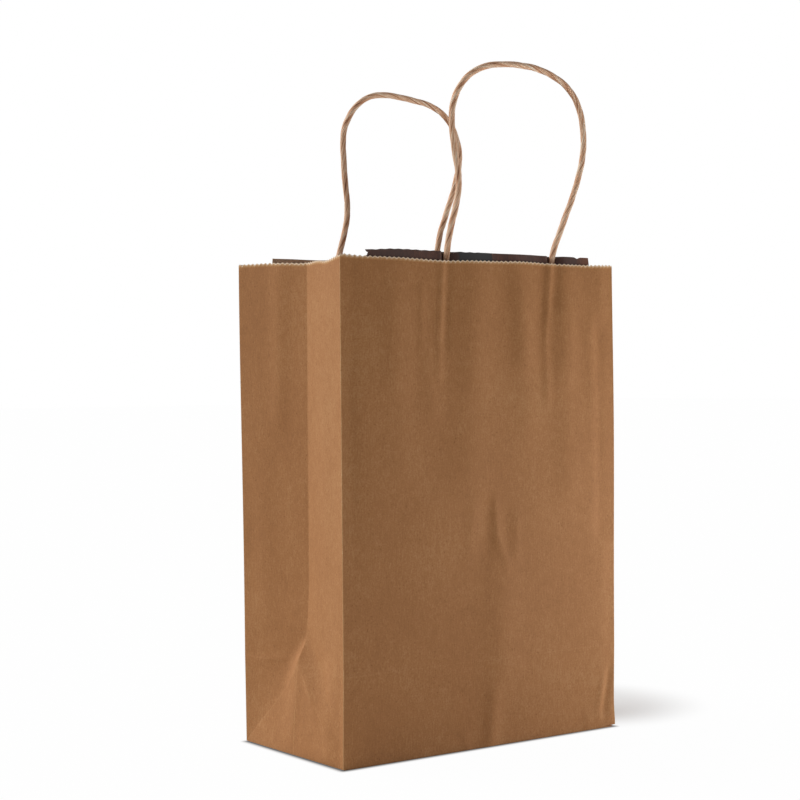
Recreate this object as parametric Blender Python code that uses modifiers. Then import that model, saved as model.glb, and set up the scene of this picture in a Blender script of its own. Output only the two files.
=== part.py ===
"""Kraft paper carrier bag with twisted paper cord handles.

One folded sheet makes the bag: a tube with a tucked gusset in each side, a lap seam down the back, a
block bottom of two glued flaps and a mouth cut with a serrated knife. Each handle is a twisted paper
cord whose ends are glued between two strips of paper, a backing and a cover, inside the mouth.

Metres, +Z up. The origin is the middle of the underside, and the front faces -Y.
"""

import math

import bmesh
import bpy
from mathutils import Vector

# The folded sheet
BAG_WIDTH = 0.200
BAG_DEPTH = 0.100
BAG_HEIGHT = 0.280
PAPER = 0.00025
CREASE_SWELL = 0.0008  # how far front and back stand out at the block-bottom crease
WALL_ROWS = 3  # rows of faces between the gussets' foot and the pockets that hold the handles

# How far the middle fold of each side stands in, at shares of the way from the block-bottom crease, where
# the diagonal creases meet, up to the mouth
FOLD_SHARES = (0.0, 0.035, 0.19, 1.0)
FOLD_TUCKS = (0.0035, 0.0096, 0.0118, 0.0124)

# The serrated mouth
TOOTH_PITCH = 0.0032
TOOTH_DEPTH = 0.0009
TOOTH_ROW = 0.004  # the plain paper under the teeth

# The block bottom and the seam
FLAP_OVERLAP = 0.024
FLAP_INSET = 0.0004  # the fold's radius, by which a flap stays inside the wall's outer face
OUTER_SINK, INNER_SINK = 0.5, 0.7  # share of the layer above that each flap is glued into
SEAM_WIDTH = 0.015
SEAM_FROM_CORNER = 0.012

# The handles
CORD_DIAMETER = 0.0040
CORD_STEP = 2.2  # spacing of the tube's rings, in diameters
CORD_BURIED = 0.049  # length of each end inside its pocket
BURIED_SHARES = (1, 0.7, 0.4, 0.15)  # where that end's route points lie, as shares of its length
CLEARANCE = 0.0003

# The strips that hold the cord's ends
STRIP_LENGTH = 0.166
STRIP_DROP = 0.052  # from the mouth down to the strips' lower edge
COVER_RISE = 0.0044  # how far the cover stands above the mouth
BACKING_DROP = 0.0020  # how far the backing stays below it
HUMP_FLAT = 0.0018  # half the flat top of the cover's hump over a cord
HUMP_FOOT = 0.0072  # half the hump's width at its foot
RIDGE_HEIGHT = 0.0008  # how far a cord pushes the panel out
RIDGE_HALF_WIDTH = 0.0050

# Each handle: which way its panel faces, where its strips' middle is, where the legs enter the mouth, and
# how far a leg leans sideways for each metre of height inside the pocket.
FRONT = {"name": "front", "side": -1, "strip_x": 0.000, "legs": (-0.0252, 0.0535), "slant": 0.083}
REAR = {"name": "rear", "side": 1, "strip_x": 0.006, "legs": (-0.0357, 0.0393), "slant": 0.037}

# Route of each cord above the mouth: x, how far out from the pocket's plane, height above the mouth.
FRONT["loop"] = [
    (-0.0237, 0.0000, 0.0072), (-0.0215, 0.0002, 0.0180), (-0.0187, 0.0005, 0.0280),
    (-0.0165, 0.0006, 0.0370), (-0.0158, 0.0006, 0.0450), (-0.0163, 0.0004, 0.0520),
    (-0.0177, 0.0001, 0.0600), (-0.0189, -0.0002, 0.0685), (-0.0197, -0.0004, 0.0760),
    (-0.0196, -0.0005, 0.0835), (-0.0181, -0.0006, 0.0905), (-0.0147, -0.0006, 0.0975),
    (-0.0094, -0.0005, 0.1040), (-0.0018, -0.0003, 0.1095), (0.0075, 0.0000, 0.1130),
    (0.0189, 0.0003, 0.1148), (0.0304, 0.0006, 0.1152), (0.0425, 0.0008, 0.1145),
    (0.0542, 0.0009, 0.1117), (0.0647, 0.0009, 0.1070), (0.0723, 0.0008, 0.1003),
    (0.0772, 0.0006, 0.0920), (0.0796, 0.0004, 0.0825), (0.0803, 0.0002, 0.0730),
    (0.0794, 0.0000, 0.0640), (0.0769, -0.0001, 0.0545), (0.0738, -0.0002, 0.0460),
    (0.0702, -0.0002, 0.0375), (0.0655, -0.0002, 0.0280), (0.0606, -0.0001, 0.0175),
    (0.0561, 0.0000, 0.0080),
]
REAR["loop"] = [
    (-0.0341, 0.0000, 0.0065), (-0.0294, 0.0003, 0.0225), (-0.0274, 0.0005, 0.0328),
    (-0.0276, 0.0006, 0.0428), (-0.0289, 0.0005, 0.0530), (-0.0301, 0.0002, 0.0678),
    (-0.0305, 0.0000, 0.0760), (-0.0300, -0.0002, 0.0830), (-0.0274, -0.0004, 0.0900),
    (-0.0232, -0.0005, 0.0965), (-0.0169, -0.0005, 0.1023), (-0.0093, -0.0004, 0.1060),
    (-0.0010, -0.0002, 0.1076), (0.0097, 0.0000, 0.1076), (0.0220, 0.0003, 0.1065),
    (0.0346, 0.0005, 0.1048), (0.0441, 0.0007, 0.1013), (0.0511, 0.0008, 0.0962),
    (0.0557, 0.0008, 0.0898), (0.0591, 0.0007, 0.0810), (0.0599, 0.0006, 0.0740),
    (0.0591, 0.0004, 0.0670), (0.0571, 0.0003, 0.0595), (0.0541, 0.0002, 0.0503),
    (0.0500, 0.0001, 0.0405), (0.0459, 0.0000, 0.0302), (0.0434, 0.0000, 0.0235),
    (0.0407, 0.0000, 0.0100),
]

# Sizes that follow from those
HALF_WIDTH = BAG_WIDTH / 2
HALF_DEPTH = BAG_DEPTH / 2
WALL_FOOT = 2 * PAPER  # the walls start above the two flap layers
CREASE_Z = WALL_FOOT + HALF_DEPTH
POCKET_Z = BAG_HEIGHT - STRIP_DROP
BACKING_INSET = PAPER + CLEARANCE  # outer face of the backing, in from the panel's outer face
COVER_INSET = BACKING_INSET + PAPER + CLEARANCE
CORD_INSET = COVER_INSET + CORD_DIAMETER / 2
HUMP_INSET = CORD_INSET + CORD_DIAMETER / 2 + CLEARANCE
APEX_TUCK = FOLD_TUCKS[0]

SAME_PLACE = 1e-6  # points nearer than this are one point
ALONG_AXIS = 0.9  # the part of a face's normal along an axis, above which it faces that way


def fold_tuck(z):
    """How far the middle fold of a side stands in at a height above the block-bottom crease."""
    share = (z - CREASE_Z) / (BAG_HEIGHT - CREASE_Z)
    for low, high, tuck, next_tuck in zip(FOLD_SHARES, FOLD_SHARES[1:], FOLD_TUCKS, FOLD_TUCKS[1:]):
        if share <= high:
            return tuck + (next_tuck - tuck) * (share - low) / (high - low)
    return next_tuck


def half_depth(z):
    """Half the bag's depth at height z."""
    rise = (z - WALL_FOOT) / HALF_DEPTH if z <= CREASE_Z else (BAG_HEIGHT - z) / (BAG_HEIGHT - CREASE_Z)
    return HALF_DEPTH + CREASE_SWELL * max(0.0, rise)


def gusset_tuck(y, z):
    """How far a point of the side stands in, y being its place across the unfolded side."""
    edge = 1 - abs(y) / HALF_DEPTH
    if z <= CREASE_Z:
        return APEX_TUCK * min(edge, (z - WALL_FOOT) / HALF_DEPTH)
    return fold_tuck(z) * edge


def leg_x(handle, leg, z):
    """Where a leg of the handle crosses height z inside its pocket."""
    return handle["legs"][leg] + handle["slant"] * (z - BAG_HEIGHT)


def ridge(handle, x, z):
    """How far the buried cords push the panel out at a point."""
    if z < POCKET_Z + TOOTH_ROW:
        return 0.0
    near = min(abs(x - leg_x(handle, leg, z)) for leg in (0, 1))
    return RIDGE_HEIGHT * max(0.0, 1 - near / RIDGE_HALF_WIDTH)


def scene_collection(name):
    made = bpy.data.collections.new(name)
    bpy.context.scene.collection.children.link(made)
    return made


def add_object(name, bm, material, where):
    mesh = bpy.data.meshes.new(name)
    bm.to_mesh(mesh)
    bm.free()
    obj = bpy.data.objects.new(name, mesh)
    mesh.materials.append(material)
    where.objects.link(obj)
    return obj


def add_solidify(obj, thickness):
    """Gives an open sheet its thickness, inwards from its outer face."""
    solid = obj.modifiers.new("paper", "SOLIDIFY")
    solid.thickness = thickness
    solid.offset = -1
    solid.use_even_offset = True
    solid.use_quality_normals = True


def paper_material(name, colour, roughness):
    material = bpy.data.materials.new(name)
    material.use_nodes = True
    shader = material.node_tree.nodes["Principled BSDF"]
    shader.inputs["Base Color"].default_value = (*colour, 1)
    shader.inputs["Roughness"].default_value = roughness
    shader.inputs["Metallic"].default_value = 0
    return material


def box_mesh(low, high):
    """A bmesh with one box between two corners."""
    bm = bmesh.new()
    bmesh.ops.create_cube(bm, size=1)
    low, high = Vector(low), Vector(high)
    bmesh.ops.scale(bm, vec=high - low, verts=bm.verts)
    bmesh.ops.translate(bm, vec=(low + high) / 2, verts=bm.verts)
    return bm


def cut(bm, faces, point, normal):
    """Cuts a line across the given faces, or across all."""
    faces = faces or bm.faces[:]
    edges = {e for f in faces for e in f.edges}
    verts = {v for f in faces for v in f.verts}
    bmesh.ops.bisect_plane(
        bm, geom=[*verts, *edges, *faces], plane_co=point, plane_no=normal, dist=SAME_PLACE / 10
    )


def wall_rows():
    """The heights at which the walls are cut across, from the crease to the plain row under the teeth."""
    foot = [CREASE_Z + share * (BAG_HEIGHT - CREASE_Z) for share in FOLD_SHARES[:-1]]
    step = (POCKET_Z - foot[-1]) / WALL_ROWS
    middle = [foot[-1] + (i + 1) * step for i in range(WALL_ROWS)]
    return foot + middle + [POCKET_Z + TOOTH_ROW, BAG_HEIGHT - TOOTH_ROW]


def faces_towards(bm, axis):
    return [f for f in bm.faces if abs(f.normal[axis]) > ALONG_AXIS]


def cut_teeth(bm):
    """Splits the straight tube's upper edge into half teeth and lowers every second point."""
    rim = [e for e in bm.edges if all(v.co.z > BAG_HEIGHT - SAME_PLACE for v in e.verts)]
    for edge in rim:
        first, last = edge.verts
        axis = 0 if abs(first.co.y - last.co.y) < SAME_PLACE else 1
        teeth = max(1, round(edge.calc_length() / TOOTH_PITCH))
        made = bmesh.ops.bisect_edges(bm, edges=[edge], cuts=2 * teeth - 1)
        new = [v for v in made["geom_split"] if isinstance(v, bmesh.types.BMVert)]
        new.sort(key=lambda v: v.co[axis])
        for vert in new[::2]:
            vert.co.z -= TOOTH_DEPTH


def fold(bm):
    """Moves each point of the straight tube to its place in the folded bag."""
    for vert in bm.verts:
        x, y, z = vert.co
        out = 0.0
        for handle in (FRONT, REAR):
            if abs(y - handle["side"] * HALF_DEPTH) < SAME_PLACE:
                out = handle["side"] * ridge(handle, x, z)
        if abs(abs(x) - HALF_WIDTH) < SAME_PLACE:
            vert.co.x -= math.copysign(gusset_tuck(y, z), x)
            out = 0.0
        vert.co.y = y * half_depth(z) / HALF_DEPTH + out


def sheet_tube():
    """The bag's walls and the layer over its flaps, as one open surface."""
    bm = box_mesh((-HALF_WIDTH, -HALF_DEPTH, WALL_FOOT), (HALF_WIDTH, HALF_DEPTH, BAG_HEIGHT))
    ends = faces_towards(bm, 2)
    bmesh.ops.delete(bm, geom=ends, context="FACES")
    for z in wall_rows():
        cut(bm, None, (0, 0, z), (0, 0, 1))
    for handle in (FRONT, REAR):
        for leg in (0, 1):
            middle = leg_x(handle, leg, BAG_HEIGHT - STRIP_DROP / 2)
            for x in (middle - RIDGE_HALF_WIDTH, middle, middle + RIDGE_HALF_WIDTH):
                panel = [f for f in faces_towards(bm, 1) if f.normal.y * handle["side"] > 0]
                cut(bm, panel, (x, 0, 0), (1, 0, 0))
    cut(bm, faces_towards(bm, 0), (0, 0, 0), (0, 1, 0))
    for side in (-1, 1):
        below = [f for f in faces_towards(bm, 0) if f.calc_center_median().z < CREASE_Z]
        cut(bm, below, (0, side * HALF_DEPTH, WALL_FOOT), (0, side, 1))
    foot = [e for e in bm.edges if e.is_boundary and all(v.co.z < CREASE_Z / 2 for v in e.verts)]
    bmesh.ops.contextual_create(bm, geom=foot)
    cut_teeth(bm)
    fold(bm)
    bmesh.ops.recalc_face_normals(bm, faces=bm.faces)
    return bm


def flap(side, low_z, high_z):
    """One flap of the block bottom: full width at its fold, narrowing at 45 degrees past the middle."""
    reach = FLAP_OVERLAP / 2
    near, far = side * (HALF_DEPTH - FLAP_INSET), -side * reach
    bm = box_mesh((-HALF_WIDTH, min(near, far), low_z), (HALF_WIDTH, max(near, far), high_z))
    for vert in bm.verts:
        from_fold = HALF_DEPTH - side * vert.co.y
        vert.co.x = math.copysign(HALF_WIDTH - from_fold - FLAP_INSET, vert.co.x)
    return bm


def lap_seam():
    """The second layer of paper down the back, where the sheet's two edges are glued."""
    left = -HALF_WIDTH + SEAM_FROM_CORNER
    bm = box_mesh((left, 0, WALL_FOOT + PAPER), (left + SEAM_WIDTH, 1, BAG_HEIGHT - TOOTH_ROW))
    for z in wall_rows()[:-1]:
        cut(bm, None, (0, 0, z), (0, 0, 1))
    for vert in bm.verts:
        vert.co.y = half_depth(vert.co.z) + (PAPER if vert.co.y > 0.5 else -PAPER / 2)
    return bm


def join(obj, other):
    """Joins another closed shape to the object with a Boolean union."""
    other.hide_render = True
    other.display_type = "WIRE"
    union = obj.modifiers.new("join_" + other.name, "BOOLEAN")
    union.operation = "UNION"
    union.solver = "EXACT"
    union.object = other


def build_body(paper, parts, cutters):
    body = add_object("bag_body", sheet_tube(), paper, parts)
    add_solidify(body, PAPER)
    shapes = {
        "outer_flap": flap(-1, 0, WALL_FOOT + PAPER * OUTER_SINK),
        "inner_flap": flap(1, PAPER, WALL_FOOT + PAPER * INNER_SINK),
        "lap_seam": lap_seam(),
    }
    for name, bm in shapes.items():
        join(body, add_object(name, bm, paper, cutters))


def smooth_route(points, spacing):
    """Points at an even spacing on a smooth curve through the given ones."""
    ends = [2 * points[0] - points[1]] + points + [2 * points[-1] - points[-2]]
    fine = []
    for a, b, c, d in zip(ends, ends[1:], ends[2:], ends[3:]):
        for i in range(8):
            t = i / 8
            fine.append(
                (2 * b + (c - a) * t + (2 * a - 5 * b + 4 * c - d) * t**2 + (3 * b - a - 3 * c + d) * t**3) / 2
            )
    fine.append(points[-1])
    along = [0.0]
    for p, q in zip(fine, fine[1:]):
        along.append(along[-1] + (q - p).length)
    count = round(along[-1] / spacing)
    spaced, k = [], 0
    for i in range(count + 1):
        want = along[-1] * i / count
        while k < len(along) - 2 and along[k + 1] < want:
            k += 1
        share = (want - along[k]) / (along[k + 1] - along[k])
        spaced.append(fine[k].lerp(fine[k + 1], share))
    return spaced


def cord_route(handle):
    """The whole centreline of a handle, from one buried end to the other."""

    def at(x, out, z):
        inside = half_depth(min(z, BAG_HEIGHT)) - CORD_INSET
        return Vector((x, handle["side"] * (inside + out), z))

    heights = [BAG_HEIGHT - CORD_BURIED * share for share in BURIED_SHARES]
    left = [at(leg_x(handle, 0, z), 0, z) for z in heights]
    right = [at(leg_x(handle, 1, z), 0, z) for z in reversed(heights)]
    loop = [at(x, out, BAG_HEIGHT + up) for x, out, up in handle["loop"]]
    return left + loop + right


def build_cord(handle, paper, parts):
    name = handle["name"] + "_handle"
    curve = bpy.data.curves.new(name, "CURVE")
    curve.dimensions = "3D"
    curve.bevel_depth = CORD_DIAMETER / 2
    curve.bevel_resolution = 2
    curve.use_fill_caps = True
    points = smooth_route(cord_route(handle), CORD_STEP * CORD_DIAMETER)
    spline = curve.splines.new("POLY")
    spline.points.add(len(points) - 1)
    for place, point in zip(spline.points, points):
        place.co = (*point, 1)
    curve.materials.append(paper)
    parts.objects.link(bpy.data.objects.new(name, curve))


def strip_sheet(handle, top, bottom):
    """An upright quad along the panel, from the strips' left end to their right end."""
    bm = bmesh.new()
    bmesh.ops.create_grid(bm, x_segments=1, y_segments=1, size=0.5)
    for vert in bm.verts:
        across, up = vert.co.x, vert.co.y + 0.5
        vert.co = (handle["strip_x"] + across * STRIP_LENGTH, 0, bottom + up * (top - bottom))
    return bm


def build_backing(handle, paper, parts):
    """The strip between the panel and the cord's ends."""
    bm = strip_sheet(handle, BAG_HEIGHT - BACKING_DROP, POCKET_Z)
    for vert in bm.verts:
        vert.co.y = handle["side"] * (half_depth(vert.co.z) - BACKING_INSET)
    turn_outwards(bm, handle)
    backing = add_object(handle["name"] + "_strip_backing", bm, paper, parts)
    add_solidify(backing, PAPER)


def build_cover(handle, paper, parts):
    """The strip over the cord's ends, humped over each cord and glued flat between them."""
    bm = strip_sheet(handle, BAG_HEIGHT + COVER_RISE, POCKET_Z)
    humps = {}
    for leg in (0, 1):
        for offset in (-HUMP_FOOT, -HUMP_FLAT, HUMP_FLAT, HUMP_FOOT):
            x = leg_x(handle, leg, BAG_HEIGHT) + offset
            humps[round(x, 6)] = abs(offset) <= HUMP_FLAT
            cut(bm, None, (x, 0, 0), (1, 0, 0))
    for vert in bm.verts:
        z = vert.co.z
        raised = humps.get(round(vert.co.x, 6))
        inset = HUMP_INSET if raised else COVER_INSET
        if raised is not None:
            vert.co.x += handle["slant"] * (z - BAG_HEIGHT)
        vert.co.y = handle["side"] * (half_depth(min(z, BAG_HEIGHT)) - inset)
    turn_outwards(bm, handle)
    cover = add_object(handle["name"] + "_strip_cover", bm, paper, parts)
    add_solidify(cover, PAPER)


def turn_outwards(bm, handle):
    """Makes every face of a strip look the way its panel faces."""
    bmesh.ops.recalc_face_normals(bm, faces=bm.faces)
    wrong = [f for f in bm.faces if f.normal.y * handle["side"] < 0]
    bmesh.ops.reverse_faces(bm, faces=wrong)


def main():
    for old in list(bpy.data.objects):
        bpy.data.objects.remove(old, do_unlink=True)
    parts = scene_collection("rope_handle_paper_bag")
    cutters = scene_collection("cutters")
    kraft = paper_material("brown kraft paper", (0.34, 0.18, 0.09), 0.85)
    twisted = paper_material("twisted kraft paper cord", (0.46, 0.27, 0.12), 0.75)
    strip = paper_material("kraft reinforcing strip", (0.26, 0.15, 0.09), 0.9)
    build_body(kraft, parts, cutters)
    for handle in (FRONT, REAR):
        build_cord(handle, twisted, parts)
        build_backing(handle, strip, parts)
        build_cover(handle, strip, parts)


main()
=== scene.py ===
"""Brown kraft paper carrier bag with twisted paper cord handles: its looks, made around the fixed frame.

The bag is one sheet of paper. Here it is laid out flat, divided along its folds, rolled into a tube with
tucked sides and closed by a block bottom. Metres, +Z up, and the front faces -Y.
"""

import math

import bmesh
import bpy
from mathutils import Matrix, Vector, noise


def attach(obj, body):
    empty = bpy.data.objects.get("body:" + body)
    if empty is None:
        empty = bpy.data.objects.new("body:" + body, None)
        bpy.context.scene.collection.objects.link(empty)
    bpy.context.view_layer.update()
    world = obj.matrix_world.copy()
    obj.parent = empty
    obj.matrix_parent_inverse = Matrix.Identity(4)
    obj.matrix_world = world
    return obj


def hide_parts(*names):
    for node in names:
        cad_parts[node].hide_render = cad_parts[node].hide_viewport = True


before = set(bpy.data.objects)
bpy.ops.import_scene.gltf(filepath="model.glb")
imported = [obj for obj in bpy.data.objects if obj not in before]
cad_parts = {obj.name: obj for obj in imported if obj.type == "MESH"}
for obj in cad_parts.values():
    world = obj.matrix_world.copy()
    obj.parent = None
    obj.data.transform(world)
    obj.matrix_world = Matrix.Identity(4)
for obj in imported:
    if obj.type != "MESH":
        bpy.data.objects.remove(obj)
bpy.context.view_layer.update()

# The camera, which stands low and off the bag's front left corner
CAMERA_AT = (-0.64002, -0.83744, 0.21277)
CAMERA_YAW = math.radians(36.367)  # from +Y towards +X
CAMERA_PITCH = math.radians(-0.704)
CAMERA_ROLL = math.radians(-0.368)
CAMERA_LENS = 79.405  # mm, on a sensor 36 mm wide
SENSOR = 36.0

# The light: white all round, a soft key from behind on the left, and a near fill at the front right
ROUND_LIGHT = 0.21
KEY_LIGHT = 0.77
KEY_FROM = (-0.68, 0.73, 0.70)
KEY_SPREAD = math.radians(50)
FILL_AT = (0.38, -0.25, 0.040)
FILL_AIM = (0.04, -0.05, 0.06)
FILL_SIZE = 0.20
FILL_POWER = 1.38

# The floor: how much of it is plain white to the eye, and how much where the bag's shadow falls
FLOOR_REACH = 12.0
FLOOR_GAP = 0.00005  # keeps the floor apart from the flap that lies on it
FLOOR_GREY = "E6E6E6"
FLOOR_WHITE = 0.985
SHADOW_WHITE = 0.42
SHADOW_MIDDLE = (0.135, 0.020, 0.0)
SHADOW_REACH = (0.030, 0.088)
CONTACT_WHITE = 0.12  # and along the bag's foot, where hardly any light gets in
CONTACT_REACH = 0.0040

# The folded sheet, as in the bag's construction
HALF_WIDTH = 0.100
HALF_DEPTH = 0.050
BAG_HEIGHT = 0.280
PAPER = 0.00025
WALL_FOOT = 2 * PAPER
CREASE_Z = WALL_FOOT + HALF_DEPTH
CREASE_SWELL = 0.0008
CLEARANCE = 0.0003

# How far the middle fold of each side stands in, at shares of the way from the level crease to the mouth
FOLD_SHARES = (0.0, 0.035, 0.19, 1.0)
FOLD_TUCKS = (0.0035, 0.0096, 0.0118, 0.0124)
APEX_TUCK = FOLD_TUCKS[0]
TUCK_EASE = 0.0180  # how far above the diagonals the gusset takes to reach its full tuck, at its middle fold
EDGE_EASE = 0.10  # and how much farther for each metre away from that fold
REAR_DIP = 0.0050  # how much farther in than the apex the rear diagonals lie
FRONT_RISE = 0.0008  # and how much farther out the front ones do
DIAGONAL_REACH = 0.020
FOLD_ROUND = 0.0060  # the middle fold's rounding where it opens out
APEX_SOFT = (0.004, 0.028)  # between these heights above the level crease it turns sharp

SAME_PLACE = 1e-6  # points closer than this are one
ON_FOLD = 1e-5  # a point closer than this to a fold lies on it
ROUNDING = 1e-7
WIDTH = 2 * HALF_WIDTH
DEPTH = 2 * HALF_DEPTH
GIRTH = 2 * (WIDTH + DEPTH)

# How finely the sheet is divided
TOOTH_PITCH = 0.0032
TOOTH_DEPTH = 0.0009
TOOTH_EVEN = 0.85  # the share of that depth that all teeth have, and how far a tooth strays from it
TOOTH_UNEVEN = 0.3
TOOTH_CHANGES = 400  # per metre
TOOTH_ROW = 0.0024
TOOTH_RIM = 0.0008  # the paper's torn rim, painted paler: partly rubbed fibres, partly painted highlight
ROW_STEP = 0.0036
EASE_STEP = 0.0017  # rows where the gusset opens
FOLD_SOFT = 0.0006  # a fold's rounding reaches this far to each side
COLUMN_GAP = 0.0004

# The block bottom and the seam
FLAP_OVERLAP = 0.024
FLAP_INSET = 0.0004
OUTER_TOP = 0.5  # each flap's upper face sinks into the sheet above it, by shares of the paper
INNER_TOP = 0.7
SEAM_WIDTH = 0.015
SEAM_FROM_CORNER = 0.012
SEAM_OUT = 0.9  # the seam's outer layer stands out by this share of the paper

# The handles and their strips
CORD_DIAMETER = 0.0040
CORD_BURIED = 0.049
CORD_DEPTHS = (1, 0.7, 0.4, 0.15)  # where a buried end's points lie, as shares of its length
STRIP_LENGTH = 0.166
STRIP_DROP = 0.052
COVER_RISE = 0.0044
BACKING_DROP = 0.0020
HUMP_FLAT = 0.0018
HUMP_FOOT = 0.0072
BACKING_COLUMN = 0.0016  # fine enough to follow the ridges over the cord's ends
COVER_COLUMN = 0.0011
COVER_ROW = 0.0030
COVER_TOP_ROW = 0.0011
POCKET_Z = BAG_HEIGHT - STRIP_DROP
BACKING_INSET = PAPER + CLEARANCE
COVER_INSET = BACKING_INSET + PAPER + CLEARANCE
CORD_INSET = COVER_INSET + CORD_DIAMETER / 2
HUMP_INSET = CORD_INSET + CORD_DIAMETER / 2 + CLEARANCE

FRONT = {"name": "front", "side": -1, "strip_x": 0.000, "legs": (-0.0252, 0.0535), "slant": 0.083}
REAR = {"name": "rear", "side": 1, "strip_x": 0.006, "legs": (-0.0357, 0.0393), "slant": 0.037}

# Route of each cord above the mouth: x, how far out from the pocket's plane, height above the mouth
FRONT["loop"] = [
    (-0.0237, 0.0000, 0.0072), (-0.0215, 0.0002, 0.0180), (-0.0187, 0.0005, 0.0280),
    (-0.0165, 0.0006, 0.0370), (-0.0158, 0.0006, 0.0450), (-0.0163, 0.0004, 0.0520),
    (-0.0177, 0.0001, 0.0600), (-0.0189, -0.0002, 0.0685), (-0.0197, -0.0004, 0.0760),
    (-0.0196, -0.0005, 0.0835), (-0.0181, -0.0006, 0.0905), (-0.0147, -0.0006, 0.0975),
    (-0.0094, -0.0005, 0.1040), (-0.0018, -0.0003, 0.1095), (0.0075, 0.0000, 0.1130),
    (0.0189, 0.0003, 0.1148), (0.0304, 0.0006, 0.1152), (0.0425, 0.0008, 0.1145),
    (0.0542, 0.0009, 0.1117), (0.0647, 0.0009, 0.1070), (0.0723, 0.0008, 0.1003),
    (0.0772, 0.0006, 0.0920), (0.0796, 0.0004, 0.0825), (0.0803, 0.0002, 0.0730),
    (0.0794, 0.0000, 0.0640), (0.0769, -0.0001, 0.0545), (0.0738, -0.0002, 0.0460),
    (0.0702, -0.0002, 0.0375), (0.0655, -0.0002, 0.0280), (0.0606, -0.0001, 0.0175),
    (0.0561, 0.0000, 0.0080),
]
REAR["loop"] = [
    (-0.0341, 0.0000, 0.0065), (-0.0294, 0.0003, 0.0225), (-0.0274, 0.0005, 0.0328),
    (-0.0276, 0.0006, 0.0428), (-0.0289, 0.0005, 0.0530), (-0.0301, 0.0002, 0.0678),
    (-0.0305, 0.0000, 0.0760), (-0.0300, -0.0002, 0.0830), (-0.0274, -0.0004, 0.0900),
    (-0.0232, -0.0005, 0.0965), (-0.0169, -0.0005, 0.1023), (-0.0093, -0.0004, 0.1060),
    (-0.0010, -0.0002, 0.1076), (0.0097, 0.0000, 0.1076), (0.0220, 0.0003, 0.1065),
    (0.0346, 0.0005, 0.1048), (0.0441, 0.0007, 0.1013), (0.0511, 0.0008, 0.0962),
    (0.0557, 0.0008, 0.0898), (0.0591, 0.0007, 0.0810), (0.0599, 0.0006, 0.0740),
    (0.0591, 0.0004, 0.0670), (0.0571, 0.0003, 0.0595), (0.0541, 0.0002, 0.0503),
    (0.0500, 0.0001, 0.0405), (0.0459, 0.0000, 0.0302), (0.0434, 0.0000, 0.0235),
    (0.0407, 0.0000, 0.0100),
]

# Strokes that push the paper out (or in, below zero): from, to, half width, push
FRONT_STROKES = [
    # The cords' ends, which show through the panel as ridges with a trough beside them
    ((-0.0310, 0.281), (-0.0333, 0.245), 0.0023, 0.0009),
    ((-0.0333, 0.241), (-0.0350, 0.215), 0.0028, 0.0007),
    ((-0.0268, 0.281), (-0.0305, 0.232), 0.0030, -0.0008),
    ((0.0495, 0.281), (0.0468, 0.260), 0.0022, 0.0008),
    ((0.0466, 0.256), (0.0440, 0.236), 0.0022, 0.0009),
    ((0.0440, 0.232), (0.0452, 0.200), 0.0030, 0.0007),
    ((0.0538, 0.281), (0.0515, 0.256), 0.0032, -0.0008),
    ((-0.0460, 0.262), (-0.0470, 0.232), 0.0024, 0.0005),
    # Slow waves between the cords
    ((-0.0660, 0.270), (-0.0640, 0.215), 0.0110, 0.0010),
    ((-0.0650, 0.250), (-0.0620, 0.165), 0.0130, 0.0009),
    ((-0.0430, 0.225), (-0.0400, 0.195), 0.0070, 0.0009),
    ((-0.0080, 0.275), (-0.0110, 0.215), 0.0120, 0.0012),
    ((-0.0100, 0.255), (-0.0140, 0.160), 0.0140, 0.0010),
    ((0.0240, 0.280), (0.0270, 0.225), 0.0080, 0.0013),
    ((0.0260, 0.255), (0.0300, 0.185), 0.0095, 0.0008),
    ((0.0430, 0.278), (0.0410, 0.250), 0.0045, -0.0006),
    ((0.0620, 0.275), (0.0580, 0.215), 0.0090, 0.0011),
    ((0.0610, 0.250), (0.0620, 0.150), 0.0110, 0.0011),
    # The mark of a thumb right of the middle
    ((-0.0110, 0.140), (-0.0140, 0.112), 0.0040, 0.0004),
    ((-0.0010, 0.138), (-0.0010, 0.116), 0.0050, -0.0006),
    ((0.0050, 0.142), (0.0066, 0.121), 0.0022, 0.0006),
    ((0.0066, 0.119), (0.0140, 0.105), 0.0022, 0.0006),
    ((0.0135, 0.134), (0.0140, 0.113), 0.0032, -0.0004),
    ((0.0220, 0.134), (0.0210, 0.108), 0.0024, 0.0003),
    # The dent down the right side
    ((0.0800, 0.240), (0.0840, 0.200), 0.0070, 0.0008),
    ((0.0875, 0.240), (0.0890, 0.120), 0.0060, -0.0015),
    # The crease at the foot and the crumpled corner
    ((0.0100, 0.105), (0.0100, 0.040), 0.0130, 0.0013),
    ((0.0045, 0.028), (0.0030, 0.000), 0.0060, 0.0012),
    ((-0.0160, 0.006), (-0.0130, 0.000), 0.0022, 0.0004),
    ((0.0960, 0.034), (0.0915, 0.010), 0.0024, -0.0010),
    ((0.0905, 0.030), (0.0870, 0.012), 0.0026, 0.0005),
    ((0.0780, 0.006), (0.0990, 0.007), 0.0026, 0.0010),
    # The block bottom's crease
    ((-0.1000, 0.051), (-0.0240, 0.046), 0.0016, 0.0002),
    ((-0.0240, 0.046), (0.0600, 0.049), 0.0020, 0.0001),
]
LEFT_STROKES = [
    ((-0.0020, 0.046), (0.0020, 0.010), 0.0035, 0.0004),
    ((-0.0080, 0.044), (-0.0245, 0.020), 0.0014, 0.0005),
    ((-0.0245, 0.018), (-0.0330, 0.010), 0.0018, -0.0005),
    ((-0.0350, 0.046), (-0.0350, 0.008), 0.0100, 0.0013),
    ((0.0480, 0.049), (0.0170, 0.052), 0.0014, 0.0004),
    ((0.0190, 0.275), (0.0210, 0.190), 0.0060, 0.0008),
    ((0.0340, 0.150), (0.0330, 0.080), 0.0080, 0.0005),
    ((-0.0250, 0.200), (-0.0260, 0.110), 0.0080, 0.0004),
]
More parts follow.
